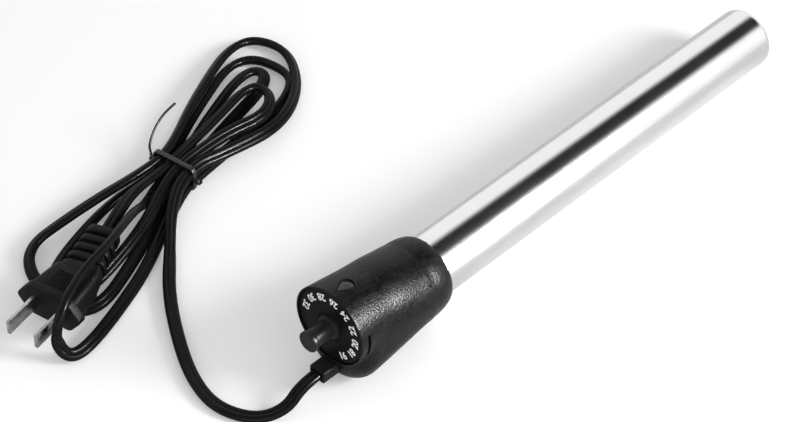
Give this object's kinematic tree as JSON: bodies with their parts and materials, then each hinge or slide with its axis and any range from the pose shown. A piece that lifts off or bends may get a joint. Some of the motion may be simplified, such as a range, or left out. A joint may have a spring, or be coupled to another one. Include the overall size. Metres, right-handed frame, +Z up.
{
  "type": "submersible aquarium heater",
  "caption": "Submersible aquarium heater lying on its side: steel tube, black head with a numbered temperature dial and knob, and a hanked flat cord with a two-blade plug.",
  "frame": {"origin": "on the surface the heater lies on, under the middle of its own box, cord and plug left out", "axes": "+X from the dial towards the tube's closed end, +Z up, +Y to the side the hanked cord lies on"},
  "size_m": [0.3136, 0.1723, 0.0458],
  "materials": {
    "steel": "polished stainless steel",
    "shell_plastic": "fine spark-eroded texture, semi-matt",
    "dial_plastic": "satin with white printed numbers",
    "knob_plastic": "semi-gloss",
    "lens": "clear smoked plastic",
    "gland_rubber": "smooth",
    "cord_pvc": "glossy PVC",
    "tie": "plastic-coated wire",
    "plug_pvc": "satin moulded PVC",
    "blade_metal": "nickel-plated brass",
    "seal_rubber": "smooth",
    "brass": "turned",
    "spring_steel": "bright",
    "nylon": "natural",
    "ceramic_board": null,
    "contact_silver": "bright",
    "magnet_black": "dull",
    "fuse_tin": "tinned",
    "ceramic": null,
    "winding_wire": "wound resistance wire",
    "mica": "mica sheet",
    "wire_brown": "insulated wire",
    "resin": "cast",
    "lamp_glass": "clear",
    "resistor_body": "lacquered"
  },
  "bodies": {
    "base": {"tube": "steel", "head_shell": "shell_plastic", "indicator_lens": "lens", "cord_gland": "gland_rubber", "cord_lead": "cord_pvc", "cord_hank": "cord_pvc", "twist_tie": "tie", "plug_body": "plug_pvc", "plug_blades": "blade_metal", "plug_relief": "plug_pvc", "tube_seals": "seal_rubber", "spindle_bush": "brass", "spindle_seal": "seal_rubber", "thermostat_board": "ceramic_board", "strip_post": "brass", "fixed_contact": "contact_silver", "magnet": "magnet_black", "thermal_fuse": "fuse_tin", "terminals": "brass", "heater_core": "ceramic", "heater_winding": "winding_wire", "insulating_sleeve": "mica", "core_spacers": "ceramic", "element_wires": "spring_steel", "cord_tail": "cord_pvc", "conductors": "wire_brown", "potting": "resin", "neon_lamp": "lamp_glass", "lamp_resistor": "resistor_body"},
    "dial": {"dial_disc": "dial_plastic", "knob": "knob_plastic", "spindle": "brass", "spindle_clip": "spring_steel"},
    "plunger": {"adjust_plunger": "nylon"},
    "contact_arm": {"bimetal_strip": "spring_steel", "moving_contact": "contact_silver"}
  },
  "joints": [
    {"name": "dial_turn", "type": "hinge", "parent": "base", "child": "dial", "pos_m": [-0.11527, 0, 0.02889], "axis": [0.9991, 0, -0.0414], "range_deg": [-142, 85]},
    {"name": "plunger_slide", "type": "slide", "parent": "base", "child": "plunger", "axis": [0.9991, 0, -0.0414], "range_m": [-0.00047, 0.00079]},
    {"name": "contact_arm_flex", "type": "hinge", "parent": "base", "child": "contact_arm", "pos_m": [-0.04402, 0, 0.02143], "axis": [0, 1, 0], "range_deg": [0, 2.5], "stiffness_Nm_per_rad": 0.02, "springref_deg": -2.86}
  ],
  "couplings": [
    {"joint": "plunger_slide", "follows": "dial_turn", "m_per_rad": -0.00031831}
  ]
}
